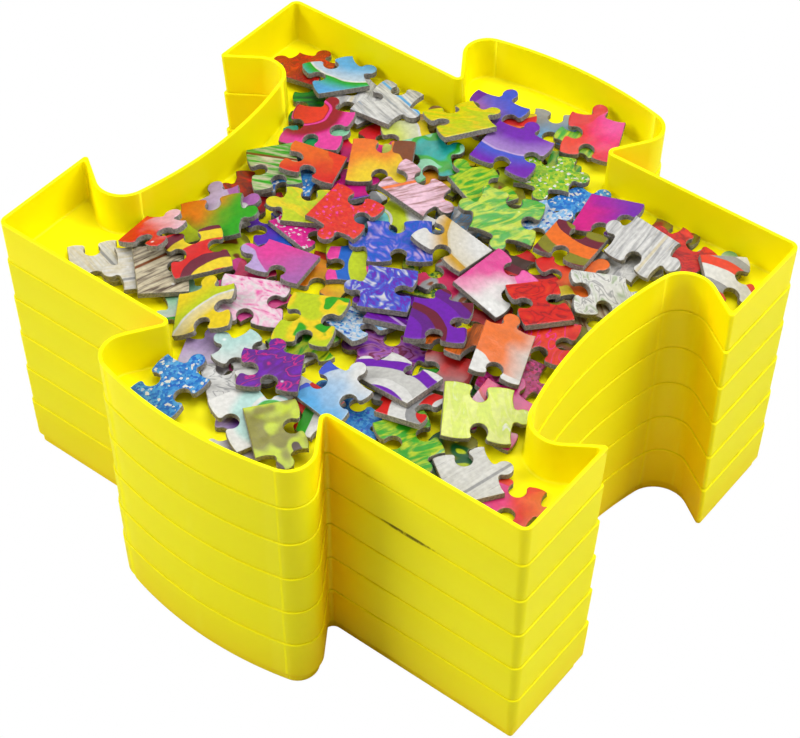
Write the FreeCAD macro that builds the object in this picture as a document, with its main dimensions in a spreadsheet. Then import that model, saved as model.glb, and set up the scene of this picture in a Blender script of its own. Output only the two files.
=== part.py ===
"""Stack of six puzzle-shaped sorting trays, the top one filled with loose jigsaw pieces.

Millimetres, +Z up. The origin is the middle of the bottom tray's underside. Two knobs point
along +Y and -Y, and two sockets of the same form open along +X and -X.
"""
import FreeCAD, Part
import math
import os

from FreeCAD import Vector

# Driving dimensions: name, value in mm (or a plain count), what it is.
SIZES = (
    ("tray_count", 6, "trays in the stack"),
    ("pitch", 16.0, "step from one rim to the next"),
    ("body_length", 200.0, "tray along X, between the sides with sockets"),
    ("body_width", 143.2, "tray along Y, without the knobs"),
    ("body_corner", 3.0, "radius of the four corners in plan"),
    ("knob_reach", 28.8, "how far a knob stands out of its side"),
    ("knob_width", 77.2, "widest part of a knob"),
    ("knob_neck", 59.0, "knob where it leaves its side"),
    ("knob_corner", 8.7, "radius of a knob's two shoulders"),
    ("knob_bow", 134.0, "radius of a knob's end"),
    ("neck_round", 1.0, "radius where a knob or socket meets its side"),
    ("socket_play", 2.0, "room round another tray's knob in a socket"),
    ("socket_end_gap", 0.2, "room past the end of another tray's knob"),
    ("wall_thickness", 1.2, "side wall"),
    ("wall_lean", 0.45, "how far a wall comes in from rim to shoulder"),
    ("inside_depth", 15.4, "from the rim down to the floor"),
    ("floor_thickness", 1.4, "floor"),
    ("floor_round", 0.8, "rounding where the wall meets the floor"),
    ("foot_depth", 4.8, "height of the foot under the shoulder"),
    ("foot_lean", 0.2, "how far the foot comes in from shoulder to base"),
    ("foot_round", 0.5, "rounding along the base"),
    ("nest_gap", 0.3, "room round a foot in the tray below"),
    ("small_round", 1.0, "smallest outside radius left in an inset outline"),
    ("card_thickness", 2.0, "board that the jigsaw pieces are cut from"),
    ("card_gap", 0.25, "room between a piece and what it lies on"),
    ("card_edge_gap", 0.7, "room beside a piece where another one passes"),
    ("wall_gap", 0.8, "room between the pieces and the tray's wall"),
    ("most_tilt", 20.0, "steepest lean of a loose piece, in degrees"),
    ("card_slide", 6.0, "furthest a loose piece slides off the ones below"),
    ("cut_short", 15.5, "short side of a piece's body"),
    ("cut_middle", 18.0, "usual side of a piece's body"),
    ("cut_long", 20.5, "long side of a piece's body"),
    ("tab_head", 2.6, "radius of a tab's round head"),
    ("tab_height", 2.9, "middle of that head above its side"),
    ("tab_neck", 1.1, "radius at the root of a tab"),
    ("tab_shift", 0.7, "how far a tab may sit beside the middle of its side"),
    ("side_bow", 0.4, "how far a side beside a tab bows in, or out beside a blank"),
)

# Which way the side of a loose piece bows: in beside a tab, out beside a blank, flat not at all.
BOWS = {"T": -1, "B": 1, "F": 0}

# Nodes that the two lower layers of loose pieces are shared out to.
LOWER_GROUPS = 6
MIDDLE_GROUPS = 6

# Loose pieces, lowest first. Each row: across and along the tray in percent of its half
# length and half width, turn in degrees, cut of the two sides (S, M or L for short, middle
# and long), and the four edges from +X counter-clockwise (T tab, B blank, F flat).
LOWER_PIECES = (
    (-80, 50, 32, "SS", "FTBF"),
    (-42, 38, -15, "SM", "TBBT"),
    (-33, 59, 20, "SS", "BTTB"),
    (-59, 1, 38, "SS", "BBTT"),
    (0, 83, 20, "SS", "TBTB"),
    (6, 75, 0, "SS", "BTBT"),
    (-8, 71, 30, "SM", "BFTB"),
    (-20, 38, 12, "MM", "BTBT"),
    (4, 25, 20, "SM", "TTBB"),
    (-18, 14, 5, "MM", "BBTT"),
    (65, 65, 4, "SS", "BBTT"),
    (54, 45, -4, "MS", "TBBT"),
    (60, 16, 22, "SM", "BTBT"),
    (60, 7, -28, "MS", "TBTB"),
    (38, 20, -18, "MS", "TBTB"),
    (-9, -9, 38, "MS", "BTBT"),
    (-14, -17, 8, "MS", "TBTB"),
    (-44, -12, -30, "SS", "TTBB"),
    (-42, -29, -12, "SM", "TBFB"),
    (-74, -57, -40, "MS", "BTBF"),
    (-64, -50, -38, "MS", "FBTT"),
    (-22, -37, -25, "MM", "TBTB"),
    (-5, -50, -20, "MS", "FTBB"),
    (1, -48, -25, "SS", "BTBT"),
    (8, -33, -12, "SM", "BBTF"),
    (21, -31, 25, "MS", "TBTB"),
    (41, -6, 12, "MS", "BTBF"),
    (39, -33, 30, "SS", "TTBB"),
    (62, -58, -12, "MS", "BTBT"),
    (48, -56, -32, "MS", "TBFB"),
    (26, -58, -20, "MS", "TBTB"),
    (8, -86, 24, "SS", "BTBT"),
    (84, -56, 12, "SS", "TBTB"),
    (-85, 44, 50, "SS", "TBBT"),
)

MIDDLE_PIECES = (
    (-85, 57, 6, "SS", "BTTF"),
    (-48, 56, 3, "SL", "TBBF"),
    (-57, 54, -15, "MM", "FTBB"),
    (-50, 8, 25, "MS", "TTBB"),
    (-34, 14, -35, "MS", "FTBB"),
    (-37, -1, 33, "SS", "TBTF"),
    (-21, 46, -35, "MS", "BTFB"),
    (-33, 47, -50, "MS", "BTFB"),
    (3, 47, 45, "MM", "FBTB"),
    (-2, 37, -20, "MS", "FBTF"),
    (-11, 15, 3, "MS", "BFTB"),
    (25, 40, -35, "SS", "BTBF"),
    (10, 0, 20, "SS", "TBBF"),
    (19, 2, -8, "MS", "FTBB"),
    (31, 60, -18, "SM", "BTFB"),
    (65, 51, -8, "SS", "FBTF"),
    (77, 57, -8, "SS", "FTBB"),
    (47, 26, -35, "MS", "TTBB"),
    (58, -2, 20, "MM", "BFFB"),
    (-59, -11, -38, "MS", "BTTB"),
    (-27, -11, -12, "MS", "BBTF"),
    (-42, -57, -30, "SS", "BFTT"),
    (-20, -61, 25, "SS", "TTFB"),
    (-8, -61, -8, "SS", "FBTB"),
    (13, -18, 24, "SM", "BFTF"),
    (60, -19, 12, "SM", "TFBB"),
    (43, -29, 20, "SS", "FTBF"),
    (42, -47, 5, "SS", "BFTF"),
    (70, -55, -35, "MS", "FTBF"),
    (14, -67, -3, "MS", "TFFB"),
    (-6, -71, -38, "MS", "FTBF"),
)

TOP_PIECES = (
    (-70, 56, -33, "MM", "FTBB"),
    (-58, 38, 18, "LM", "BTBB"),
    (-57, 8, -42, "LS", "BFFB"),
    (-46, 17, 20, "MS", "FFBB"),
    (-30, 30, 30, "LM", "FBFB"),
    (-21, 58, -32, "LM", "FTBB"),
    (0, 60, 8, "LL", "BTFB"),
    (-12, 27, 3, "MS", "TBBF"),
    (18, 33, 22, "LM", "BBTT"),
    (-23, 3, 5, "MM", "BBFT"),
    (-3, 5, 38, "LM", "FBTB"),
    (17, 13, -5, "LS", "FFBB"),
    (34, 12, -6, "ML", "BBFF"),
    (19, 62, 25, "MS", "TBFT"),
    (41, 38, 4, "MS", "FBFB"),
    (41, 53, 12, "MM", "BFFB"),
    (55, 51, -8, "MS", "TFTB"),
    (87, 56, -45, "MS", "BBFF"),
    (57, 24, 42, "MS", "TFBB"),
    (50, 8, -38, "LS", "FBFB"),
    (-19, 79, 2, "LS", "BTBF"),
    (16, 83, 22, "MM", "FTBB"),
    (-60, -24, 38, "LM", "TBTB"),
    (-27, -25, 12, "MS", "FFTB"),
    (-48, -38, -36, "MM", "FBBB"),
    (-78, -50, 8, "SS", "BTFB"),
    (-54, -49, -42, "LS", "FBTF"),
    (-30, -55, 35, "MM", "BTFB"),
    (-23, -42, 28, "LM", "BFBB"),
    (5, -12, 28, "SL", "BFTF"),
    (-6, -35, 19, "ML", "BFBB"),
    (25, -17, 28, "ML", "BTFB"),
    (38, -17, 3, "MM", "TBFB"),
    (52, -17, 22, "SL", "FTFB"),
    (7, -59, 32, "MS", "FTBB"),
    (22, -52, -8, "MS", "BTBF"),
    (33, -41, -5, "LS", "FBTF"),
    (60, -43, 34, "LM", "TBFB"),
    (86, -48, 5, "MM", "BTFB"),
    (13, -74, -38, "MS", "TBFF"),
    (7, -79, -25, "LS", "FTFB"),
    (-15, -79, -4, "MM", "BTBF"),
)


def make_sheet(document):
    """Spreadsheet of the driving dimensions, one aliased cell per size."""
    sheet = document.addObject("Spreadsheet::Sheet", "sizes")
    for row, (name, value, meaning) in enumerate(SIZES, start=1):
        sheet.set("A%d" % row, name)
        sheet.set("B%d" % row, str(value))
        sheet.set("C%d" % row, meaning)
        sheet.setAlias("B%d" % row, name)
    document.recompute()
    return sheet


class Sizes:
    """The sheet's values, read by name."""

    def __init__(self, sheet):
        for name, value, meaning in SIZES:
            setattr(self, name, type(value)(sheet.get(name)))


def polar(centre, radius, degrees):
    """Point at a radius and an angle from a centre."""
    angle = math.radians(degrees)
    return Vector(centre.x + radius * math.cos(angle), centre.y + radius * math.sin(angle), 0)


class Arc:
    """Arc of a plan outline, walked from one angle to the other (degrees)."""

    def __init__(self, centre, radius, start, end):
        self.centre = centre
        self.radius = radius
        self.start = start
        self.end = end

    def point(self, share):
        return polar(self.centre, self.radius, self.start + (self.end - self.start) * share)

    def turned(self, degrees, offset):
        """Same arc turned about the origin and then moved."""
        centre = FreeCAD.Rotation(Vector(0, 0, 1), degrees).multVec(self.centre) + offset
        return Arc(centre, self.radius, self.start + degrees, self.end + degrees)


def bulge_arcs(form, inset, outward):
    """Arcs of a knob (outward) or a socket on the side y = 0, walked from +X to -X.

    A knob rises along +Y and a socket sinks along -Y. The flank leaves the side at the neck
    and touches the shoulder's circle, and the end arc touches both shoulders inside. An
    inset moves every face into the plastic.
    """
    end_centre = Vector(0, form["reach"] - form["bow"], 0)
    across = form["width"] / 2 - form["corner"]
    rise = math.sqrt((form["bow"] - form["corner"]) ** 2 - across ** 2)
    shoulder = Vector(across, end_centre.y + rise, 0)
    run = Vector(shoulder.x - form["neck"] / 2, shoulder.y, 0)
    flank = math.degrees(math.atan2(run.y, run.x) - math.asin(form["corner"] / run.Length)) - 90
    tip = math.degrees(math.atan2(rise, across))
    grow = -inset if outward else inset
    root = form["root"] + inset if outward else max(form["root"] - inset, form["least"])
    reach = form["root"] if outward else root + inset
    slope = (1 - math.sin(math.radians(flank))) / math.cos(math.radians(flank))
    root_centre = Vector(form["neck"] / 2 + reach * slope, reach, 0)
    half = [Arc(root_centre, root, 270, flank + 180), Arc(shoulder, form["corner"] + grow, flank, tip)]
    arcs = half + [Arc(end_centre, form["bow"] + grow, tip, 180 - tip)]
    for arc in reversed(half):
        arcs.append(Arc(Vector(-arc.centre.x, arc.centre.y, 0), arc.radius, 180 - arc.end, 180 - arc.start))
    if outward:
        return arcs
    return [Arc(Vector(a.centre.x, -a.centre.y, 0), a.radius, -a.start, -a.end) for a in arcs]


def tray_arcs(size, inset):
    """Arcs of a tray's outline, counter-clockwise from the +X socket, moved in by an inset."""
    knob = {
        "reach": size.knob_reach,
        "width": size.knob_width,
        "neck": size.knob_neck,
        "corner": size.knob_corner,
        "bow": size.knob_bow,
        "root": size.neck_round,
        "least": size.small_round,
    }
    spread = 2 * size.socket_play
    socket = dict(knob)
    socket["reach"] = size.knob_reach + size.socket_end_gap
    socket["width"] = size.knob_width + spread
    socket["neck"] = size.knob_neck + spread
    corner = max(size.body_corner - inset, size.small_round)
    half_length = size.body_length / 2
    half_width = size.body_width / 2
    corner_x = half_length - inset - corner
    corner_y = half_width - inset - corner
    corners = ((corner_x, corner_y), (-corner_x, corner_y), (-corner_x, -corner_y), (corner_x, -corner_y))
    arcs = []
    for quarter in range(4):
        turn = 90 * quarter - 90
        out = half_length if quarter % 2 == 0 else half_width
        offset = polar(Vector(0, 0, 0), out, turn + 90)
        side = bulge_arcs(knob if quarter % 2 else socket, inset, quarter % 2 == 1)
        arcs.extend(arc.turned(turn, offset) for arc in side)
        x, y = corners[quarter]
        arcs.append(Arc(Vector(x, y, 0), corner, 90 * quarter, 90 * quarter + 90))
    return arcs


def outline_edges(arcs):
    """Edges of a closed outline: each arc, and the straight run to the next one."""
    edges = []
    for arc, following in zip(arcs, arcs[1:] + arcs[:1]):
        edges.append(Part.Arc(arc.point(0), arc.point(0.5), arc.point(1)))
        if arc.point(1).distanceToPoint(following.point(0)) > 1e-6:
            edges.append(Part.LineSegment(arc.point(1), following.point(0)))
    return edges


def add_outline(document, size, name, inset, height):
    """Sketch of the tray's outline, moved in by an inset, at a height given in words."""
    sketch = document.addObject("Sketcher::SketchObject", name)
    sketch.addGeometry(outline_edges(tray_arcs(size, inset)), False)
    sketch.setExpression("Placement.Base.z", height)
    return sketch


def add_loft(document, name, sections):
    """Solid with straight sides between two outlines."""
    loft = document.addObject("Part::Loft", name)
    loft.Sections = sections
    loft.Solid = True
    loft.Ruled = True
    return loft


def add_fuse(document, name, shapes):
    fuse = document.addObject("Part::MultiFuse", name)
    fuse.Shapes = shapes
    return fuse


def foot_inset(size):
    """Inset of the foot: it drops into the rim of the tray below with the nest gap all round."""
    lean = size.wall_lean * size.foot_depth / size.pitch
    return size.wall_thickness + lean + size.nest_gap


def floor_inset(size):
    """Inset of the inner wall where it comes down to the floor."""
    return size.wall_thickness + size.wall_lean * size.inside_depth / size.pitch


def add_rounded(document, name, block, height, radius):
    """Block with the edges at one height rounded."""
    document.recompute()
    rounded = document.addObject("Part::Fillet", name)
    rounded.Base = block
    edges = enumerate(block.Shape.Edges, start=1)
    level = [number for number, edge in edges if abs(edge.BoundBox.ZMin - height) + edge.BoundBox.ZLength < 1e-3]
    rounded.Edges = [(number, radius, radius) for number in level]
    return rounded


def add_tray_block(document, size):
    """Outside of one tray: the foot with its rounded base, and the leaning wall on its shoulder."""
    foot = foot_inset(size)
    base_outline = add_outline(document, size, "base_outline", foot + size.foot_lean, "0 mm")
    foot_outline = add_outline(document, size, "foot_outline", foot, "sizes.foot_depth")
    shoulder_outline = add_outline(document, size, "shoulder_outline", size.wall_lean, "sizes.foot_depth")
    rim_outline = add_outline(document, size, "rim_outline", 0, "sizes.foot_depth + sizes.pitch")
    foot_block = add_loft(document, "foot_block", [base_outline, foot_outline])
    wall_block = add_loft(document, "wall_block", [shoulder_outline, rim_outline])
    rounded_foot = add_rounded(document, "rounded_foot", foot_block, 0, size.foot_round)
    return add_fuse(document, "tray_block", [rounded_foot, wall_block])


def add_tray_hollow(document, size):
    """Space above the floor, rounded where the wall comes down to it."""
    floor_height = "sizes.foot_depth + sizes.pitch - sizes.inside_depth"
    floor_outline = add_outline(document, size, "floor_outline", floor_inset(size), floor_height)
    mouth_outline = add_outline(document, size, "mouth_outline", size.wall_thickness, "sizes.foot_depth + sizes.pitch")
    hollow_block = add_loft(document, "hollow_block", [floor_outline, mouth_outline])
    height = size.foot_depth + size.pitch - size.inside_depth
    return add_rounded(document, "tray_hollow", hollow_block, height, size.floor_round)


def add_foot_hollow(document, size):
    """Space under the floor, inside the foot's thin wall."""
    inset = foot_inset(size) + size.wall_thickness
    under_floor = "sizes.foot_depth + sizes.pitch - sizes.inside_depth - sizes.floor_thickness"
    opening_outline = add_outline(document, size, "opening_outline", inset + size.foot_lean, "0 mm")
    ceiling_outline = add_outline(document, size, "ceiling_outline", inset, under_floor)
    return add_loft(document, "foot_hollow", [opening_outline, ceiling_outline])


def add_trays(document, size):
    """Trays from the bottom up, each standing with its shoulder on the rim below."""
    block = add_tray_block(document, size)
    hollows = [add_tray_hollow(document, size), add_foot_hollow(document, size)]
    hollow = add_fuse(document, "tray_hollows", hollows)
    trays = []
    for index in range(size.tray_count):
        tray = document.addObject("Part::Cut", "tray_%d" % (index + 1))
        tray.Base = block
        tray.Tool = hollow
        tray.setExpression("Placement.Base.z", "sizes.pitch * %d" % index)
        trays.append(tray)
    return trays


class Piece:
    """One jigsaw piece: its cut, where it lies in plan, and the plane of its underside."""

    def __init__(self, size, row, number):
        across, along, self.turn, cut, self.edges = row
        sides = {"S": size.cut_short, "M": size.cut_middle, "L": size.cut_long}
        self.size = size
        self.x = across / 100 * size.body_length / 2
        self.y = along / 100 * (size.body_width / 2 + size.knob_reach)
        self.length = sides[cut[0]]
        self.width = sides[cut[1]]
        self.shifts = [size.tab_shift * ((number * 3 + side * 5) % 7 - 3) / 3 for side in range(4)]
        self.height = 0.0
        self.slope_x = 0.0
        self.slope_y = 0.0
        self.heads = [self.head(side) for side in range(4)]
        self.marks = [spot for side in range(4) for spot in self.side_marks(side)]
        self.marks += [(u, v) for u in (-4, 4) for v in (-4, 4)]
        self.balance = self.balance_point()
        self.reach = max(math.hypot(u, v) for u, v in self.marks)

    def side(self, side):
        """Half run of a side, its distance from the middle, and its direction in degrees."""
        if side % 2 == 0:
            return self.width / 2, self.length / 2, 90 * side
        return self.length / 2, self.width / 2, 90 * side

    def local(self, side, along, out):
        """Point of the piece, from a place along a side and out from it."""
        half_run, distance, degrees = self.side(side)
        angle = math.radians(degrees)
        cos, sin = math.cos(angle), math.sin(angle)
        return (cos * (distance + out) - sin * along, sin * (distance + out) + cos * along)

    def head(self, side):
        """Middle of a side's tab or blank, or nothing on a flat side."""
        if self.edges[side] == "F":
            return None
        out = self.size.tab_height if self.edges[side] == "T" else -self.size.tab_height
        return self.local(side, self.shifts[side], out)

    def balance_point(self):
        """Middle of its weight: pulled towards tabs and away from blanks."""
        share = math.pi * self.size.tab_head ** 2 / (self.length * self.width)
        u = v = 0.0
        for head, edge in zip(self.heads, self.edges):
            if head is not None:
                sign = 1 if edge == "T" else -1
                u += sign * share * head[0]
                v += sign * share * head[1]
        return u, v

    def side_marks(self, side):
        """Points along a side and round its tab, where the piece may touch another."""
        half_run = self.side(side)[0]
        shares = (-8, -6, -4, -2, 0, 2, 4, 6) if self.edges[side] == "F" else (-8, -6, -4, 4, 6)
        marks = [self.local(side, half_run * share / 8, 0) for share in shares]
        if self.edges[side] == "F":
            return marks
        sign = 1 if self.edges[side] == "T" else -1
        for degrees in range(-45, 226, 45):
            angle = math.radians(degrees)
            along = self.shifts[side] + self.size.tab_head * math.cos(angle)
            out = self.size.tab_height + self.size.tab_head * math.sin(angle)
            marks.append(self.local(side, along, sign * out))
        return marks

    def in_plan(self, spots):
        """Points of the piece, placed in the tray's plan."""
        angle = math.radians(self.turn)
        cos, sin = math.cos(angle), math.sin(angle)
        return [(self.x + cos * u - sin * v, self.y + sin * u + cos * v) for u, v in spots]

    def covers(self, x, y, margin):
        """Whether the piece, widened by a margin, lies over a point of the plan."""
        angle = math.radians(self.turn)
        dx, dy = x - self.x, y - self.y
        u = math.cos(angle) * dx + math.sin(angle) * dy
        v = -math.sin(angle) * dx + math.cos(angle) * dy
        within = abs(u) <= self.length / 2 + margin and abs(v) <= self.width / 2 + margin
        for head, edge in zip(self.heads, self.edges):
            if head is None:
                continue
            distance = math.hypot(u - head[0], v - head[1])
            if edge == "T" and distance <= self.size.tab_head + margin:
                return True
            if edge == "B" and distance <= self.size.tab_head - margin:
                return False
        return within

    def top(self, x, y):
        """Height of its upper face over a point."""
        rise = self.size.card_thickness * math.sqrt(1 + self.slope_x ** 2 + self.slope_y ** 2)
        return self.height + self.slope_x * (x - self.x) + self.slope_y * (y - self.y) + rise

    def near(self, other):
        return math.hypot(self.x - other.x, self.y - other.y) < self.reach + other.reach + 2 * self.size.card_edge_gap


def plane_through(corners):
    """Height at the origin and the two slopes of the plane through three points."""
    (x1, y1, z1), (x2, y2, z2), (x3, y3, z3) = corners
    area = (x2 - x1) * (y3 - y1) - (x3 - x1) * (y2 - y1)
    slope_x = ((z2 - z1) * (y3 - y1) - (z3 - z1) * (y2 - y1)) / area
    slope_y = ((z3 - z1) * (x2 - x1) - (z2 - z1) * (x3 - x1)) / area
    return z1 - slope_x * x1 - slope_y * y1, slope_x, slope_y


def origin_share(corners):
    """Least of the origin's three shares in a triangle's plan: above 0 when it is inside."""
    turns = []
    for (x1, y1, _), (x2, y2, _) in zip(corners, corners[1:] + corners[:1]):
        turns.append(x1 * y2 - x2 * y1)
    area = sum(turns)
    if abs(area) < 1e-3:
        return -1.0
    return min(turn / area for turn in turns)


def rest_plane(props):
    """Plane on which a card comes to rest over props, given from its middle.

    It lies on three of them that go round its middle, with none above it. Starting from a
    plane far below, the prop that stands out furthest takes the place of the one corner that
    keeps the middle inside, until none stands out.
    """
    far = 1000.0
    corners = [(far, 0.1, -far), (-far, far, -far), (-far, -far, -far)]
    for _ in range(60):
        height, slope_x, slope_y = plane_through(corners)
        highest = max(props, key=lambda prop: prop[2] - height - slope_x * prop[0] - slope_y * prop[1])
        if highest[2] - height - slope_x * highest[0] - slope_y * highest[1] < 1e-6:
            break
        trials = [corners[:i] + [highest] + corners[i + 1:] for i in range(3)]
        corners = max(trials, key=origin_share)
    return slope_x, slope_y


def inside_polygon(x, y, polygon):
    """Even-odd test of a point against a closed polygon."""
    inside = False
    for (x1, y1), (x2, y2) in zip(polygon, polygon[1:] + polygon[:1]):
        if (y1 > y) != (y2 > y) and x < x1 + (y - y1) * (x2 - x1) / (y2 - y1):
            inside = not inside
    return inside


def within(piece, fence):
    """Whether all of a piece is inside the fence, and no part of the fence is under it."""
    if not all(inside_polygon(x, y, fence) for x, y in piece.in_plan(piece.marks)):
        return False
    return not any(piece.covers(x, y, 0) for x, y in fence)


def clear_of_wall(piece, fence):
    """Slide a piece towards the middle until all of it is inside the fence."""
    step = 1.0
    while not within(piece, fence):
        distance = math.hypot(piece.x, piece.y)
        piece.x -= step * piece.x / distance
        piece.y -= step * piece.y / distance


def settle(piece, pile, floor):
    """Drop a piece on the floor and the pile, and tilt it until it rests on three points."""
    gap = piece.size.card_gap
    margin = piece.size.card_edge_gap
    near = [other for other in pile if piece.near(other)]
    middle_x, middle_y = piece.in_plan([piece.balance])[0]
    props = []
    for x, y in piece.in_plan(piece.marks):
        below = [other.top(x, y) for other in near if other.covers(x, y, margin)]
        props.append((x - middle_x, y - middle_y, max(below + [floor]) + gap))
    for other in near:
        for x, y in other.in_plan(other.marks):
            if piece.covers(x, y, margin):
                props.append((x - middle_x, y - middle_y, other.top(x, y) + gap))
    slope_x, slope_y = rest_plane(props)
    steepest = math.tan(math.radians(piece.size.most_tilt))
    share = min(1.0, steepest / max(math.hypot(slope_x, slope_y), 1e-9))
    slope_x, slope_y = slope_x * share, slope_y * share
    height = max(z - slope_x * x - slope_y * y for x, y, z in props)
    piece.slope_x, piece.slope_y = slope_x, slope_y
    piece.height = height + slope_x * (piece.x - middle_x) + slope_y * (piece.y - middle_y)


def nudge(piece, pile, floor, fence):
    """Slide a piece off the others a little way, to where it lies lowest."""
    home_x, home_y = piece.x, piece.y
    slide = piece.size.card_slide
    tries = [(piece.height, home_x, home_y)]
    for ring in (slide / 3, slide * 2 / 3, slide):
        for degrees in range(0, 360, 45):
            piece.x = home_x + ring * math.cos(math.radians(degrees))
            piece.y = home_y + ring * math.sin(math.radians(degrees))
            if within(piece, fence):
                settle(piece, pile, floor)
                tries.append((piece.height + 0.1 * ring, piece.x, piece.y))
    _, piece.x, piece.y = min(tries)
    settle(piece, pile, floor)


def pile_up(size, layers):
    """Jigsaw pieces in the order they fell into the top tray, lowest first in each layer."""
    inset = floor_inset(size) + size.wall_gap
    corners = [arc.point(step / 4) for arc in tray_arcs(size, inset) for step in range(5)]
    fence = [(corner.x, corner.y) for corner in corners]
    floor = size.pitch * size.tray_count + size.foot_depth - size.inside_depth
    pile = []
    for rows in layers:
        waiting = [Piece(size, row, number) for number, row in enumerate(rows, start=len(pile))]
        for piece in waiting:
            clear_of_wall(piece, fence)
            settle(piece, pile, floor)
        while waiting:
            lowest = min(waiting, key=lambda piece: piece.height)
            waiting.remove(lowest)
            nudge(lowest, pile, floor, fence)
            pile.append(lowest)
            for piece in waiting:
                if piece.near(lowest):
                    settle(piece, pile, floor)
    return pile


def tab_arcs(size, sign):
    """A tab (sign 1) or a blank (sign -1) beside a side: root, round head, root."""
    root_out = size.tab_neck
    rise = size.tab_height - root_out
    spread = math.sqrt((size.tab_neck + size.tab_head) ** 2 - rise ** 2)
    lean = math.degrees(math.atan2(rise, spread))
    arcs = (
        Arc(Vector(spread, root_out, 0), size.tab_neck, -90, -180 - lean),
        Arc(Vector(0, size.tab_height, 0), size.tab_head, -lean, 180 + lean),
        Arc(Vector(-spread, root_out, 0), size.tab_neck, lean, -90),
    )
    if sign > 0:
        return arcs
    return [Arc(Vector(a.centre.x, -a.centre.y, 0), a.radius, -a.start, -a.end) for a in arcs]


def side_run(start, end, bow):
    """Edge between two points: straight, or an arc whose middle stands off by the bow."""
    if bow.Length == 0:
        return Part.LineSegment(start, end).toShape()
    return Part.Arc(start, (start + end) / 2 + bow, end).toShape()


def piece_shape(piece):
    """Flat card solid of a piece, its underside on z = 0 and its middle at the origin."""
    size = piece.size
    edges = []
    for side in range(4):
        half_run, distance, degrees = piece.side(side)
        turn = FreeCAD.Rotation(Vector(0, 0, 1), degrees - 90)
        stops = [Vector(half_run, distance, 0)]
        curves = []
        if piece.edges[side] != "F":
            offset = Vector(-piece.shifts[side], distance, 0)
            for arc in tab_arcs(size, 1 if piece.edges[side] == "T" else -1):
                points = [arc.point(share) + offset for share in (0, 0.5, 1)]
                stops.append(points[0])
                stops.append(points[2])
                curves.append(Part.Arc(*[turn.multVec(point) for point in points]).toShape())
        stops.append(Vector(-half_run, distance, 0))
        stops = [turn.multVec(stop) for stop in stops]
        bow = turn.multVec(Vector(0, size.side_bow * BOWS[piece.edges[side]], 0))
        runs = [side_run(stops[0], stops[1], bow)]
        if curves:
            runs.append(side_run(stops[-2], stops[-1], bow))
        edges.extend([runs[0]] + curves + runs[1:])
    return Part.Face(Part.Wire(edges)).extrude(Vector(0, 0, size.card_thickness))


def piece_placement(piece):
    """Turn in plan first, then the tilt onto the resting plane."""
    upright = Vector(0, 0, 1)
    tilt = FreeCAD.Rotation(upright, Vector(-piece.slope_x, -piece.slope_y, 1))
    turn = FreeCAD.Rotation(upright, piece.turn)
    return FreeCAD.Placement(Vector(piece.x, piece.y, piece.height), tilt.multiply(turn))


def add_piece(document, name, piece):
    feature = document.addObject("Part::Feature", name)
    feature.Shape = piece_shape(piece)
    feature.Placement = piece_placement(piece)
    return feature


def add_piece_groups(document, name, pieces, groups):
    """Compounds of loose pieces, as alike in number as they go."""
    compounds = []
    for group in range(groups):
        compound = document.addObject("Part::Compound", "%s_%d" % (name, group + 1))
        first = len(pieces) * group // groups
        last = len(pieces) * (group + 1) // groups
        members = enumerate(pieces[first:last], start=first + 1)
        compound.Links = [add_piece(document, "%s_card_%d" % (name, number), piece) for number, piece in members]
        compounds.append(compound)
    return compounds


def add_pieces(document, size):
    """All loose pieces: two lower layers in groups, and each piece on top by itself."""
    pile = pile_up(size, (LOWER_PIECES, MIDDLE_PIECES, TOP_PIECES))
    lower = pile[:len(LOWER_PIECES)]
    middle = pile[len(LOWER_PIECES):-len(TOP_PIECES)]
    top = pile[-len(TOP_PIECES):]
    nodes = add_piece_groups(document, "lower_pieces", lower, LOWER_GROUPS)
    nodes += add_piece_groups(document, "middle_pieces", middle, MIDDLE_GROUPS)
    for number, piece in enumerate(top, start=1):
        nodes.append(add_piece(document, "jigsaw_piece_%02d" % number, piece))
    return nodes


def check(document, nodes):
    """Stop if any object failed, or if a sub-part is empty or not valid."""
    for item in document.Objects:
        if "Invalid" in item.State or "Error" in item.State:
            raise RuntimeError("%s: %s" % (item.Label, item.State))
    for node in nodes:
        if node.Shape.isNull() or not node.Shape.isValid() or not node.Shape.Solids:
            raise RuntimeError("%s has no valid solid" % node.Label)


def export(nodes):
    os.makedirs("parts", exist_ok=True)
    for node in nodes:
        node.Shape.exportStep("parts/%s.step" % node.Label)


document = FreeCAD.newDocument("sorting_trays")
sheet = make_sheet(document)
size = Sizes(sheet)
nodes = add_trays(document, size) + add_pieces(document, size)
document.recompute()
check(document, nodes)
export(nodes)
print("%d nodes, %d solids" % (len(nodes), sum(len(node.Shape.Solids) for node in nodes)))
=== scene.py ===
import math

import bmesh
import bpy
import numpy as np
from mathutils import Matrix, Vector


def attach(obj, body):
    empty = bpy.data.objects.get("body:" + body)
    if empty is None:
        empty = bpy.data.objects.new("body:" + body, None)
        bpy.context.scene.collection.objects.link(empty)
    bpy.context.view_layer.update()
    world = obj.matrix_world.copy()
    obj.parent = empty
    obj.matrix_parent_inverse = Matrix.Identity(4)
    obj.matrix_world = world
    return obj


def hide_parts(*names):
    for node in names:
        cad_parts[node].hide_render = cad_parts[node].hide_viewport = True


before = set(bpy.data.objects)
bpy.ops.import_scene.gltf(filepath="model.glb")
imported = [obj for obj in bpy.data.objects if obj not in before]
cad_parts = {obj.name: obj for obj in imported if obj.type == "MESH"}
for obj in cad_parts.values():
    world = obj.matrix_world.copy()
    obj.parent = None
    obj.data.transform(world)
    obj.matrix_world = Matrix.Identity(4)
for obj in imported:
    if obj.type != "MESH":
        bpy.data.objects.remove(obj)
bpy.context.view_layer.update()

# Sorting trays -----------------------------------------------------------------------
# Six trays of lemon yellow polystyrene, injection moulded in one mould, so all are alike.
# The foot of each drops into the one below, and its shoulder rests on that one's rim.

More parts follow.
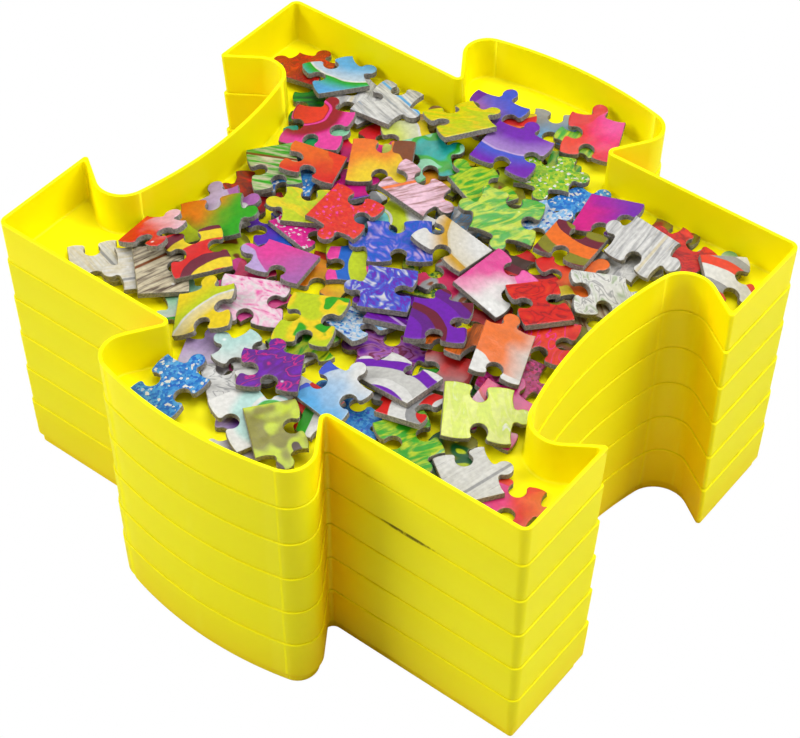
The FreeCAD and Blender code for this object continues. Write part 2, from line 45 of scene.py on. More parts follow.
MM = 0.001
TRAY_COUNT = 6
TRAY_PITCH = 16.0
FOOT = 4.8
FOOT_LEAN = 0.2
WALL = 1.2
WALL_LEAN = 0.45
NEST_GAP = 0.3
INSIDE_DEPTH = 15.4
FLOOR = 1.4
BODY_LENGTH, BODY_WIDTH, BODY_CORNER = 200.0, 143.2, 3.0
KNOB = {"reach": 28.8, "width": 77.2, "neck": 59.0}
SOCKET = {"reach": 29.0, "width": 81.2, "neck": 63.0}
SHOULDER, BOW, ROOT = 8.7, 134.0, 1.0
LEAST_CORNER = 1.0
ROOT_STEPS, SHOULDER_STEPS, BOW_STEPS, CORNER_STEPS = 9, 17, 13, 9

# Roundings of the section, from the inside of the foot to the edge of the floor.
CEILING_ROUND, EDGE_ROUND, BASE_ROUND, FOOT_ROUND = 0.6, 0.3, 0.5, 0.15
SHELF_ROUND, RIM_ROUND, FLOOR_ROUND = 0.25, 0.4, 0.8


def srgb(red, green, blue):
    """Colour given as 0..255 on screen, as the linear values that the shaders work with."""
    screen = np.array((red, green, blue)) / 255
    linear = np.where(screen <= 0.04045, screen / 12.92, ((screen + 0.055) / 1.055) ** 2.4)
    return (*linear.tolist(), 1.0)


def add_node(tree, kind, inputs=None, **settings):
    """Adds a node, sets its properties, then links or sets each of its named inputs."""
    node = tree.nodes.new(kind)
    for name, value in settings.items():
        setattr(node, name, value)
    for name, value in (inputs or {}).items():
        if isinstance(value, bpy.types.NodeSocket):
            tree.links.new(value, node.inputs[name])
        else:
            node.inputs[name].default_value = value
    return node


def add_math(tree, operation, first, second=0.0, third=0.0):
    """One step of arithmetic on two or three values."""
    inputs = {0: first, 1: second, 2: third}
    return add_node(tree, "ShaderNodeMath", inputs, operation=operation).outputs[0]


def add_vector(tree, operation, first, second):
    """One step of arithmetic on two vectors."""
    inputs = {0: first, 1: second}
    return add_node(tree, "ShaderNodeVectorMath", inputs, operation=operation).outputs[0]


def add_mix(tree, share, first, second):
    """Mix of two colours by a share from 0 to 1."""
    node = add_node(tree, "ShaderNodeMix", data_type="RGBA")
    for name, value in (("Factor_Float", share), ("A_Color", first), ("B_Color", second)):
        socket = next(s for s in node.inputs if s.identifier == name)
        if isinstance(value, bpy.types.NodeSocket):
            tree.links.new(value, socket)
        else:
            socket.default_value = value
    return next(s for s in node.outputs if s.identifier == "Result_Color")


def add_ramp(tree, value, start, end, low=0.0, high=1.0, smooth=True):
    """One value before start and another after end, with a soft or an even change between."""
    kind = "SMOOTHSTEP" if smooth else "LINEAR"
    inputs = {"Value": value, "From Min": start, "From Max": end, "To Min": low, "To Max": high}
    return add_node(tree, "ShaderNodeMapRange", inputs, interpolation_type=kind).outputs[0]


def add_noise(tree, place, scale, detail=2.0, distortion=0.0):
    """Soft cloudy noise from 0 to 1."""
    inputs = {"Vector": place, "Scale": scale, "Detail": detail, "Distortion": distortion}
    return add_node(tree, "ShaderNodeTexNoise", inputs).outputs["Fac"]


def new_group(name, inputs, outputs):
    """New node group, with what it is given and what it makes.

    Its inputs are rows of name, kind and default, and its outputs rows of name and kind.
    """
    group = bpy.data.node_groups.new(name, "ShaderNodeTree")
    for title, kind, default in inputs:
        socket = group.interface.new_socket(title, in_out="INPUT", socket_type="NodeSocket" + kind)
        if default is not None:
            socket.default_value = default
    for title, kind in outputs:
        group.interface.new_socket(title, in_out="OUTPUT", socket_type="NodeSocket" + kind)
    given = group.nodes.new("NodeGroupInput").outputs
    made = group.nodes.new("NodeGroupOutput").inputs
    return group, given, made


def use_group(tree, group, inputs):
    """Places a node group, fills in its inputs and returns its outputs."""
    return add_node(tree, "ShaderNodeGroup", inputs, node_tree=group).outputs


def new_material(name):
    """Material with an empty tree, its Principled shader and its output."""
    material = bpy.data.materials.new(name)
    material.use_nodes = True
    tree = material.node_tree
    tree.nodes.clear()
    shader = tree.nodes.new("ShaderNodeBsdfPrincipled")
    output = tree.nodes.new("ShaderNodeOutputMaterial")
    tree.links.new(shader.outputs[0], output.inputs["Surface"])
    return material, tree, shader


def uneven_group():
    """Two sizes of noise on a surface: a slow drift and a fine grain, each from 0 to 1."""
    inputs = [("Place", "Vector", None)]
    inputs += [("Drift scale", "Float", 20.0), ("Grain scale", "Float", 900.0)]
    group, given, made = new_group("uneven", inputs, (("Drift", "Float"), ("Grain", "Float")))
    group.links.new(add_noise(group, given["Place"], given["Drift scale"], 3.0), made["Drift"])
    group.links.new(add_noise(group, given["Place"], given["Grain scale"], 3.0), made["Grain"])
    return group


def bend(across, up, radius, start, end, count):
    """Arc from one angle to the other (degrees), as rows of point and outward normal.

    Walked counter-clockwise it is an outer corner and its normals point away from its centre,
    and walked clockwise it is an inner corner and they point to the centre.
    """
    angles = np.radians(np.linspace(start, end, count))
    ways = np.column_stack((np.cos(angles), np.sin(angles)))
    return np.hstack((ways * radius + (across, up), ways * np.sign(end - start)))


def bulge(form, inset, outward):
    """Knob, or socket, on the side y = 0 from +X to -X: root, shoulder, end bow, shoulder, root.

    The shoulder's circle touches the bow from inside, and the flank touches root and shoulder.
    """
    bow_y = form["reach"] - BOW
    across = form["width"] / 2 - SHOULDER
    shoulder_y = bow_y + math.sqrt((BOW - SHOULDER) ** 2 - across**2)
    run_x = across - form["neck"] / 2
    reach = math.hypot(run_x, shoulder_y)
    flank = math.degrees(math.atan2(shoulder_y, run_x) - math.asin(SHOULDER / reach)) - 90
    tip = math.degrees(math.atan2(shoulder_y - bow_y, across))
    grow = -inset if outward else inset
    root = ROOT + inset if outward else ROOT
    root_y = ROOT if outward else root + inset
    slope = math.radians(flank)
    root_x = form["neck"] / 2 + root_y * (1 - math.sin(slope)) / math.cos(slope)
    half = np.vstack((
        bend(root_x, root_y, root, 270, flank + 180, ROOT_STEPS),
        bend(across, shoulder_y, SHOULDER + grow, flank, tip, SHOULDER_STEPS),
        bend(0, bow_y, BOW + grow, tip, 90, BOW_STEPS),
    ))
    rows = np.vstack((half[:-1], half[::-1] * (-1, 1, -1, 1)))
    return rows if outward else rows * (1, -1, -1, 1)


def tray_outline(inset):
    """Closed outline of a tray moved in by an inset, as rows of point and outward normal.

    It starts with the +X socket and goes round counter-clockwise.
    """
    corner = max(BODY_CORNER - inset, LEAST_CORNER)
    x = BODY_LENGTH / 2 - inset - corner
    y = BODY_WIDTH / 2 - inset - corner
    parts = []
    for quarter, (corner_x, corner_y) in enumerate(((x, y), (-x, y), (-x, -y), (x, -y))):
        outward = quarter % 2 == 1
        side = bulge(KNOB if outward else SOCKET, inset, outward)
        out = (BODY_WIDTH if outward else BODY_LENGTH) / 2
        angle = math.radians(90 * quarter - 90)
        cos, sin = math.cos(angle), math.sin(angle)
        turn = np.array(((cos, sin), (-sin, cos)))
        parts.append(np.hstack((side[:, :2] @ turn + (-sin * out, cos * out), side[:, 2:] @ turn)))
        start = 90 * quarter
        parts.append(bend(corner_x, corner_y, corner, start, start + 90, CORNER_STEPS))
    return np.vstack(parts)


def tray_section():
    """Section of the skin from the floor's underside round to its upper face.

    Rows of inset, height and the normal in that plane. It goes down the foot's inner face,
    round its lower edge, up the foot, out over the shoulder, up the wall, over the rim, and
    down the inside to the rounded edge of the floor.
    """
    top = FOOT + TRAY_PITCH
    floor = top - INSIDE_DEPTH
    under = floor - FLOOR
    foot = WALL + WALL_LEAN * FOOT / TRAY_PITCH + NEST_GAP
    base = foot + FOOT_LEAN
    inner = WALL + WALL_LEAN * INSIDE_DEPTH / TRAY_PITCH
    return np.vstack((
        bend(foot + WALL + CEILING_ROUND, under - CEILING_ROUND, CEILING_ROUND, 90, 180, 5),
        bend(base + WALL - EDGE_ROUND, EDGE_ROUND, EDGE_ROUND, 0, -90, 4),
        bend(base + BASE_ROUND, BASE_ROUND, BASE_ROUND, -90, -180, 5),
        bend(foot - FOOT_ROUND, FOOT - FOOT_ROUND, FOOT_ROUND, 0, 90, 3),
        bend(WALL_LEAN + SHELF_ROUND, FOOT + SHELF_ROUND, SHELF_ROUND, -90, -180, 4),
        bend(RIM_ROUND, top - RIM_ROUND, RIM_ROUND, 180, 90, 6),
        bend(WALL - RIM_ROUND, top - RIM_ROUND, RIM_ROUND, 90, 0, 6),
        bend(inner + FLOOR_ROUND, floor + FLOOR_ROUND, FLOOR_ROUND, 180, 270, 7),
    )) * (1, 1, -1, -1)


def tray_skin():
    """Points and normals of the bottom tray's skin, as (section, outline, xyz) grids in mm.

    Each row of the section is the outline moved in by that row's inset, at that row's height.
    Its normal leans from the outline's own normal by the section's. A third grid says how far
    each point faces out of the tray.
    """
    places, normals, facing = [], [], []
    for inset, height, across, up in tray_section():
        outline = tray_outline(inset)
        level = np.full((len(outline), 1), height)
        places.append(np.hstack((outline[:, :2], level)))
        normals.append(np.hstack((-across * outline[:, 2:], np.full_like(level, up))))
        facing.append(np.full(len(outline), max(-across, 0.0)))
    return np.array(places), np.array(normals), np.array(facing)


def make_tray(name, lift, places, normals, facing):
    """One tray: quads between neighbouring rings, one flat face under its floor and one on it."""
    rows, count = places.shape[:2]
    index = np.arange(rows * count).reshape(rows, count)
    following = np.roll(index, -1, axis=1)
    quads = np.stack((index[:-1], following[:-1], following[1:], index[1:]), axis=-1).reshape(-1, 4)
    faces = quads.tolist() + [index[0, ::-1].tolist(), index[-1].tolist()]
    mesh = bpy.data.meshes.new(name)
    mesh.from_pydata(((places.reshape(-1, 3) + (0, 0, lift)) * MM).tolist(), [], faces)
    mesh.shade_smooth()
    mesh.normals_split_custom_set_from_vertices(normals.reshape(-1, 3).tolist())
    mesh.attributes.new("faces_out", "FLOAT", "POINT").data.foreach_set("value", facing.ravel())
    tray = bpy.data.objects.new(name, mesh)
    bpy.context.collection.objects.link(tray)
    return tray


# A dark line sits in one seam of the front wall.
SEAM_LINE_PLACE = (0.0596, -0.0712, 0.0690)
SEAM_LINE_SIZE = (0.0130, 0.0040, 0.0006)

# Walls nearer than this make a spot a nook, where the plastic gets a warmer painted shade.
PAINTED_SHADE_REACH = 0.06


def yellow_plastic():
    """Lemon yellow plastic, a little translucent, with a soft gloss and painted light and shade.

    Its tone drifts slowly and is mixed to a warmer painted shade in the nooks outside, the gloss
    has a fine grain, the exposed edges have a paler painted highlight, and there are a few dark
    specks and a short dark line along one seam.
    """
    material, tree, shader = new_material("yellow_plastic")
    place = add_node(tree, "ShaderNodeTexCoord").outputs["Object"]
    noise = use_group(tree, uneven, {"Place": place, "Drift scale": 12.0, "Grain scale": 1300.0})
    tone = add_mix(tree, noise["Drift"], srgb(243, 229, 0), srgb(246, 233, 0))
    # Painted shade: on outer faces in nooks, where other walls stand close, the tone is mixed
    # toward orange.
    around = add_node(tree, "ShaderNodeAmbientOcclusion", {"Distance": PAINTED_SHADE_REACH}, samples=8)
    open_air = around.outputs["AO"]
    faces_out = add_node(tree, "ShaderNodeAttribute", attribute_name="faces_out").outputs["Fac"]
    painted_nook_shade = add_math(tree, "MULTIPLY", add_ramp(tree, open_air, 0.80, 0.25), faces_out)
    tone = add_mix(tree, painted_nook_shade, tone, srgb(252, 208, 0))
    # Painted highlight: the sharpest edges, such as the rims, are mixed toward a pale yellow.
    edge = add_node(tree, "ShaderNodeNewGeometry").outputs["Pointiness"]
    painted_edge_highlight = add_math(tree, "MULTIPLY", add_ramp(tree, edge, 0.52, 0.60), 0.15)
    colour = add_mix(tree, painted_edge_highlight, tone, srgb(252, 244, 60))
    cells = add_node(tree, "ShaderNodeTexVoronoi", {"Vector": place, "Scale": 42.0})
    chosen = add_node(tree, "ShaderNodeSeparateColor", {0: cells.outputs["Color"]}).outputs
    size = add_math(tree, "MULTIPLY", chosen[1], 0.022)
    speck = add_math(tree, "LESS_THAN", cells.outputs["Distance"], size)
    speck = add_math(tree, "MULTIPLY", speck, add_math(tree, "GREATER_THAN", chosen[0], 0.985))
    colour = add_mix(tree, speck, colour, srgb(96, 78, 10))
    # A short, patchy dark line along one seam of the front wall.
    away = add_vector(tree, "DIVIDE", add_vector(tree, "SUBTRACT", place, SEAM_LINE_PLACE), SEAM_LINE_SIZE)
    away = add_node(tree, "ShaderNodeVectorMath", {0: away}, operation="LENGTH").outputs["Value"]
    patchy = add_ramp(tree, add_noise(tree, place, 260.0, 3.0), 0.40, 0.56)
    seam_line = add_math(tree, "MULTIPLY", add_ramp(tree, away, 1.0, 0.5, 0.0, 0.8), patchy)
    colour = add_mix(tree, seam_line, colour, srgb(70, 58, 20))
    tree.links.new(colour, shader.inputs["Base Color"])
    rough = add_ramp(tree, noise["Drift"], 0.0, 1.0, 0.44, 0.54, smooth=False)
    tree.links.new(rough, shader.inputs["Roughness"])
    bump = {"Strength": 0.05, "Distance": 0.0002, "Height": noise["Grain"]}
    tree.links.new(add_node(tree, "ShaderNodeBump", bump).outputs[0], shader.inputs["Normal"])
    shader.inputs["Specular IOR Level"].default_value = 0.14
    shader.inputs["Subsurface Weight"].default_value = 0.4
    shader.inputs["Subsurface Radius"].default_value = (1.0, 0.8, 0.04)
    shader.inputs["Subsurface Scale"].default_value = 0.003
    return material


uneven = uneven_group()
plastic = yellow_plastic()
skin = tray_skin()
for number in range(1, TRAY_COUNT + 1):
    tray = make_tray("sorting_tray_%d" % number, TRAY_PITCH * (number - 1), *skin)
    tray.data.materials.append(plastic)
    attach(tray, "tray_%d_body" % number)
    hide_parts("tray_%d" % number)


# Loose jigsaw pieces -----------------------------------------------------------------
# Die-cut pieces of grey board, about 2 mm thick, with a glossy picture laminated on top.
# The die presses the printed edge down, so it is rounded. They lie loose in the top tray.

PRINT_ROUND, PRINT_ROUND_STEPS, PRINT_ROUND_PROFILE = 0.32, 3, 0.55
SAME_POINT = 0.002
FLAT_ANGLE, RIM_ANGLE, SHARP_ANGLE = math.radians(0.6), 1.0, math.radians(50)
FACES_UP = 0.99
LARGE_FACE_WEIGHT = 90
CM_IN_M = 100

# Multipliers that make a seed of a card's place, and its print's turn and slide of the seed.
SEED_X, SEED_Y, TURN_STEP, SHIFT_STEP = 7919, 104729, 17, 43

WHITE = (1.0, 1.0, 1.0, 1.0)
PRINT_LAYERS = ("a", "b", "c", "how")
COLOURS = {
    "red": (222, 38, 34), "dark_red": (158, 24, 30), "coral": (236, 84, 66),
    "orange": (242, 116, 34), "yellow": (244, 214, 34), "lime": (196, 214, 30),
    "pale_lime": (216, 224, 128), "green": (62, 168, 46), "dark_green": (28, 92, 46),
    "mint": (158, 212, 178), "teal": (74, 166, 158), "pale_teal": (190, 222, 216),
    "aqua": (140, 212, 212), "sky": (128, 184, 230), "blue": (64, 110, 196),
    "periwinkle": (108, 120, 208), "violet": (128, 76, 178), "purple": (104, 46, 136),
    "lilac": (200, 178, 220), "mauve": (176, 118, 176), "magenta": (220, 40, 140),
    "pink": (236, 120, 176), "rose": (206, 92, 116), "pale_pink": (244, 208, 222),
    "white": (228, 227, 223), "pale_grey": (208, 207, 202), "grey": (156, 156, 156),
    "beige": (218, 208, 182), "tan": (190, 156, 112), "brown": (126, 74, 48),
    "dark_brown": (68, 44, 34), "olive": (134, 130, 48), "gold": (206, 160, 60),
    "maroon": (112, 26, 48), "sage": (166, 182, 150),
}
PATTERNS = ("blend", "dome", "stripes", "blots", "wood", "folds", "leaves", "swirl", "glitter")

# Pattern and colours of each piece on top, in the order of the nodes.
TOP_PRINTS = (
    "dome magenta pale_pink red", "stripes white coral grey", "folds pale_pink white pink",
    "wood beige dark_brown brown", "swirl green pale_teal white", "blend mauve periwinkle violet",
    "glitter green lime white", "blend green orange lime", "blend violet magenta purple",
    "dome sky green white", "folds periwinkle blue lilac", "blend coral pink red",
    "blend magenta white pink", "stripes pale_grey violet white", "wood green beige brown",
    "glitter blue sky white", "folds white grey sage", "wood orange brown dark_brown",
    "dome yellow lime white", "stripes orange olive maroon", "blots olive lime dark_brown",
    "blend orange yellow brown", "stripes red yellow maroon", "leaves pale_lime lime white",
    "dome violet periwinkle lilac", "swirl coral dark_red pink", "blend mauve pink lilac",
    "blend sky white periwinkle", "folds periwinkle violet white", "leaves green lime dark_green",
    "folds red dark_red coral", "glitter red coral pink", "blend red pale_pink coral",
    "blots lime yellow green", "blend orange red coral", "dome white gold beige",
    "folds purple magenta violet", "stripes violet purple maroon", "leaves lime yellow green",
    "blend pale_grey orange white", "wood white grey beige", "wood pale_pink brown orange",
)

# The same for the groups of pieces below, each from -X to +X.
GROUP_PRINTS = {
    "lower_pieces_1": (
        "leaves green dark_green lime", "folds dark_red maroon red", "blend red pink magenta",
        "wood brown beige tan", "blend grey sky blue",
    ),
    "lower_pieces_2": (
        "blots olive lime brown", "blend grey sky white", "blend orange yellow coral",
        "folds grey sky white", "blots dark_red olive brown", "wood beige brown tan",
    ),
    "lower_pieces_3": (
        "wood white beige grey", "wood pale_grey white beige", "folds mauve maroon violet",
        "glitter blue sky periwinkle", "blend red dark_red coral", "blots olive dark_green lime",
    ),
    "lower_pieces_4": (
        "blend yellow orange lime", "blend white violet lilac", "stripes red dark_brown maroon",
        "leaves green dark_green lime", "blend pink orange coral",
    ),
    "lower_pieces_5": (
        "wood white beige grey", "blend pink rose magenta", "stripes lime blue pink",
        "stripes yellow red orange", "blots olive brown gold", "folds white pale_grey grey",
    ),
    "lower_pieces_6": (
        "blend teal green mint", "blend violet blue periwinkle", "leaves green lime dark_green",
        "glitter sky white blue", "leaves green lime yellow", "leaves green lime teal",
    ),
    "middle_pieces_1": (
        "dome mint green white", "blots lime olive brown", "glitter lime dark_green yellow",
        "glitter blue sky white", "dome green white dark_green",
    ),
    "middle_pieces_2": (
        "folds dark_red red coral", "wood white grey beige", "blend magenta pink violet",
        "blend lilac white pink", "glitter maroon pink rose",
    ),
    "middle_pieces_3": (
        "dome pale_lime yellow white", "folds white grey pale_grey", "wood violet purple lilac",
        "blots rose grey brown", "glitter sky white blue",
    ),
    "middle_pieces_4": (
        "blend lilac white mauve", "glitter sky blue white", "swirl aqua lime white",
        "blend orange red yellow", "wood pale_grey white grey",
    ),
    "middle_pieces_5": (
        "wood white grey sky", "glitter magenta pink white", "stripes red white green",
        "stripes white red grey", "blend red grey dark_red",
    ),
    "middle_pieces_6": (
        "leaves lime yellow green", "blots teal green mint", "blend pale_teal white teal",
        "leaves green lime dark_green", "folds coral pink red", "folds red dark_red coral",
    ),
}


def islands_of(shape):
    """Connected parts of a mesh, as lists of faces."""
    waiting = set(shape.faces)
    islands = []
    while waiting:
        found = [waiting.pop()]
        for face in found:
            for other in (f for edge in face.edges for f in edge.link_faces):
                if other in waiting:
                    waiting.remove(other)
                    found.append(other)
        islands.append(found)
    return islands


def card_frame(faces):
    """Frame of one card: its middle, the way of its longest side, the way across, and up."""
    top = max((f for f in faces if f.normal.z > 0), key=lambda f: f.calc_area())
    longest = max(top.edges, key=lambda e: e.calc_length())
    along = (longest.verts[1].co - longest.verts[0].co).normalized()
    return top.calc_center_bounds(), along, top.normal.cross(along), top.normal.copy()


def make_cards(name, node, prints):
    """Copy of a node's cards, with rounded print edges, a UV frame in cm and a print for each."""
    mesh = node.data.copy()
    mesh.name = name
    mesh.materials.clear()
    shape = bmesh.new()
    shape.from_mesh(mesh)
    bmesh.ops.remove_doubles(shape, verts=shape.verts, dist=SAME_POINT * MM)
    bmesh.ops.dissolve_limit(shape, angle_limit=FLAT_ANGLE, verts=shape.verts, edges=shape.edges)
    frames = [(card_frame(faces), faces) for faces in islands_of(shape)]
    frames.sort(key=lambda item: item[0][0].x)
    uv = shape.loops.layers.uv.new("card")
    layers = [shape.verts.layers.float_color.new("print_" + title) for title in PRINT_LAYERS]
    rims = []
    for ((middle, along, across, up), faces), look in zip(frames, prints, strict=True):
        pattern, *colours = look.split()
        seed = (abs(middle.x) * SEED_X + abs(middle.y) * SEED_Y) % 1.0
        how = (PATTERNS.index(pattern), seed, (seed * TURN_STEP) % 1.0, (seed * SHIFT_STEP) % 1.0)
        values = [srgb(*COLOURS[colour]) for colour in colours] + [how]
        for face in faces:
            for vertex in face.verts:
                for layer, value in zip(layers, values):
                    vertex[layer] = value
            if face.normal.dot(up) > FACES_UP:
                rims.extend(edge for edge in face.edges if edge.calc_face_angle(0) > RIM_ANGLE)
            for loop in face.loops:
                place = loop.vert.co - middle
                loop[uv].uv = (place.dot(along) * CM_IN_M, place.dot(across) * CM_IN_M)
    bmesh.ops.bevel(
        shape, geom=rims, offset=PRINT_ROUND * MM, segments=PRINT_ROUND_STEPS,
        profile=PRINT_ROUND_PROFILE, affect="EDGES",
    )
    for face in shape.faces:
        face.smooth = True
    for edge in shape.edges:
        edge.smooth = edge.calc_face_angle(0) < SHARP_ANGLE
    shape.to_mesh(mesh)
    shape.free()
    cards = bpy.data.objects.new(name, mesh)
    bpy.context.collection.objects.link(cards)
    normals = cards.modifiers.new("even_normals", "WEIGHTED_NORMAL")
    normals.weight = LARGE_FACE_WEIGHT
    normals.keep_sharp = True
    return cards


def add_stretch(tree, place, across, along):
    """Place with its two plan axes scaled, so that a noise on it runs in streaks."""
    return add_vector(tree, "MULTIPLY", place, (across, along, 1.0))


def add_three(tree, given, value, second_from, second_to, third_from, third_to):
    """First colour, changing to the second and then to the third as a value rises."""
    second = add_ramp(tree, value, second_from, second_to)
    third = add_ramp(tree, value, third_from, third_to)
    colour = add_mix(tree, second, given["First"], given["Second"])
    return add_mix(tree, third, colour, given["Third"])


def print_group():
    """Printed picture: nine plain motifs in three colours, picked by the pattern's number.

    Places are in cm on the card. Each card turns its motif by Turn, slides it by Shift, and
    reads another slice of the noises by its Seed.
    """
    inputs = [("Place", "Vector", None)]
    inputs += [(title, "Color", None) for title in ("First", "Second", "Third")]
    inputs += [(title, "Float", 0.0) for title in ("Pattern", "Seed", "Turn", "Shift")]
    tree, given, made = new_group("card_print", inputs, (("Color", "Color"),))
    angle = add_math(tree, "MULTIPLY", given["Turn"], 2 * math.pi)
    turned = {"Vector": given["Place"], "Angle": angle}
    turned = add_node(tree, "ShaderNodeVectorRotate", turned, rotation_type="Z_AXIS").outputs[0]
    depth = add_math(tree, "MULTIPLY", given["Seed"], 50.0)
    slice_at = add_node(tree, "ShaderNodeCombineXYZ", {"Z": depth}).outputs[0]
    place = add_vector(tree, "ADD", turned, slice_at)
    x, y = add_node(tree, "ShaderNodeSeparateXYZ", {0: turned}).outputs[:2]
    shift = add_math(tree, "MULTIPLY_ADD", given["Shift"], 0.5, -0.25)

    cloud = add_noise(tree, place, 1.2, 1.0)
    fine = add_noise(tree, place, 7.0, 4.0)
    bent = add_math(tree, "MULTIPLY_ADD", cloud, 1.4, -0.7)
    across = add_math(tree, "ADD", add_math(tree, "ADD", x, bent), shift)
    along = add_math(tree, "MULTIPLY_ADD", bent, -0.5, y)
    below = add_math(tree, "POWER", add_math(tree, "ADD", y, 1.7), 2.0)
    bow = add_math(tree, "SQRT", add_math(tree, "MULTIPLY_ADD", x, x, below))
    bow = add_math(tree, "SUBTRACT", bow, add_math(tree, "ADD", shift, 1.95))
    bow = add_math(tree, "MULTIPLY_ADD", bent, 0.15, bow)

    even = add_ramp(tree, across, -1.0, 1.0)
    blend = add_mix(tree, even, given["First"], given["Second"])
    blend = add_mix(tree, add_ramp(tree, along, 0.62, 0.67), blend, given["Third"])

    glow = add_mix(tree, add_ramp(tree, bow, -0.9, -0.05, 0.0, 0.6), given["First"], given["Third"])
    beyond = add_mix(tree, add_ramp(tree, bow, 0.0, 0.8), given["Second"], given["First"])
    dome = add_mix(tree, add_ramp(tree, bow, -0.02, 0.02), glow, beyond)
    line = add_ramp(tree, add_math(tree, "ABSOLUTE", bow), 0.06, 0.02)
    dome = add_mix(tree, line, dome, given["Third"])

    band = add_math(tree, "FRACT", add_math(tree, "MULTIPLY_ADD", bow, 0.8, given["Seed"]))
    stripes = add_three(tree, given, band, 0.42, 0.45, 0.72, 0.75)
    blots = add_three(tree, given, cloud, 0.44, 0.54, 0.60, 0.63)

    fibre = add_noise(tree, add_stretch(tree, place, 1.0, 8.0), 1.0, 5.0, 0.4)
    crack = add_noise(tree, add_stretch(tree, place, 0.9, 17.0), 1.0, 3.0, 0.2)
    wood = add_mix(tree, add_ramp(tree, fibre, 0.35, 0.72), given["First"], given["Second"])
    wood = add_mix(tree, add_ramp(tree, crack, 0.63, 0.70, 0.0, 0.5), wood, given["Third"])
    joint = add_math(tree, "ABSOLUTE", add_math(tree, "SUBTRACT", y, 0.42))
    wood = add_mix(tree, add_ramp(tree, joint, 0.07, 0.03), wood, given["Third"])

    wrinkle = add_noise(tree, add_stretch(tree, place, 1.0, 1.8), 1.0, 2.0, 1.6)
    ridge = add_math(tree, "ABSOLUTE", add_math(tree, "MULTIPLY_ADD", wrinkle, 2.0, -1.0))
    folds = add_mix(tree, add_ramp(tree, ridge, 0.10, 0.45), given["First"], given["Third"])
    folds = add_mix(tree, add_ramp(tree, ridge, 0.09, 0.0, 0.0, 0.9), folds, given["Second"])

    stroke = add_noise(tree, add_stretch(tree, place, 3.2, 0.9), 1.0, 3.0, 1.4)
    leaves = add_three(tree, given, stroke, 0.40, 0.62, 0.62, 0.80)

    beside = add_math(tree, "POWER", add_math(tree, "SUBTRACT", x, 0.7), 2.0)
    ring = add_math(tree, "SQRT", add_math(tree, "MULTIPLY_ADD", y, y, beside))
    ring = add_math(tree, "MULTIPLY_ADD", bent, 0.25, ring)
    swirl = add_three(tree, given, ring, 0.50, 0.54, 1.00, 1.30)
    line = add_math(tree, "ABSOLUTE", add_math(tree, "SUBTRACT", ring, 0.6))
    swirl = add_mix(tree, add_ramp(tree, line, 0.07, 0.03), swirl, given["Third"])

    flakes = add_node(tree, "ShaderNodeTexVoronoi", {"Vector": place, "Scale": 12.0})
    flake = add_node(tree, "ShaderNodeSeparateColor", {0: flakes.outputs["Color"]}).outputs[0]
    shine = add_ramp(tree, flake, 0.0, 0.85, smooth=False)
    glitter = add_mix(tree, shine, given["First"], given["Second"])
    glitter = add_mix(tree, add_ramp(tree, flake, 0.86, 0.92), glitter, given["Third"])

    colour = blend
    others = (dome, stripes, blots, wood, folds, leaves, swirl, glitter)
    for number, motif in enumerate(others, start=1):
        picked = add_math(tree, "COMPARE", given["Pattern"], float(number), 0.2)
        colour = add_mix(tree, picked, colour, motif)
    # Painted glints: a few soft white spots on the print stand in for light caught in the gloss.
    painted_glint_cells = add_node(tree, "ShaderNodeTexVoronoi", {"Vector": place, "Scale": 1.9})
    lit = add_node(tree, "ShaderNodeSeparateColor", {0: painted_glint_cells.outputs["Color"]}).outputs[0]
    spot = add_ramp(tree, painted_glint_cells.outputs["Distance"], 0.16, 0.03, 0.0, 0.85)
    spot = add_math(tree, "MULTIPLY", spot, add_math(tree, "GREATER_THAN", lit, 0.88))
    colour = add_mix(tree, spot, colour, WHITE)
    shade = add_ramp(tree, fine, 0.3, 0.7, 0.52, 0.63)
    toned = {"Color": colour, "Saturation": 1.22, "Value": shade}
    tree.links.new(add_node(tree, "ShaderNodeHueSaturation", toned).outputs[0], made["Color"])
    return tree


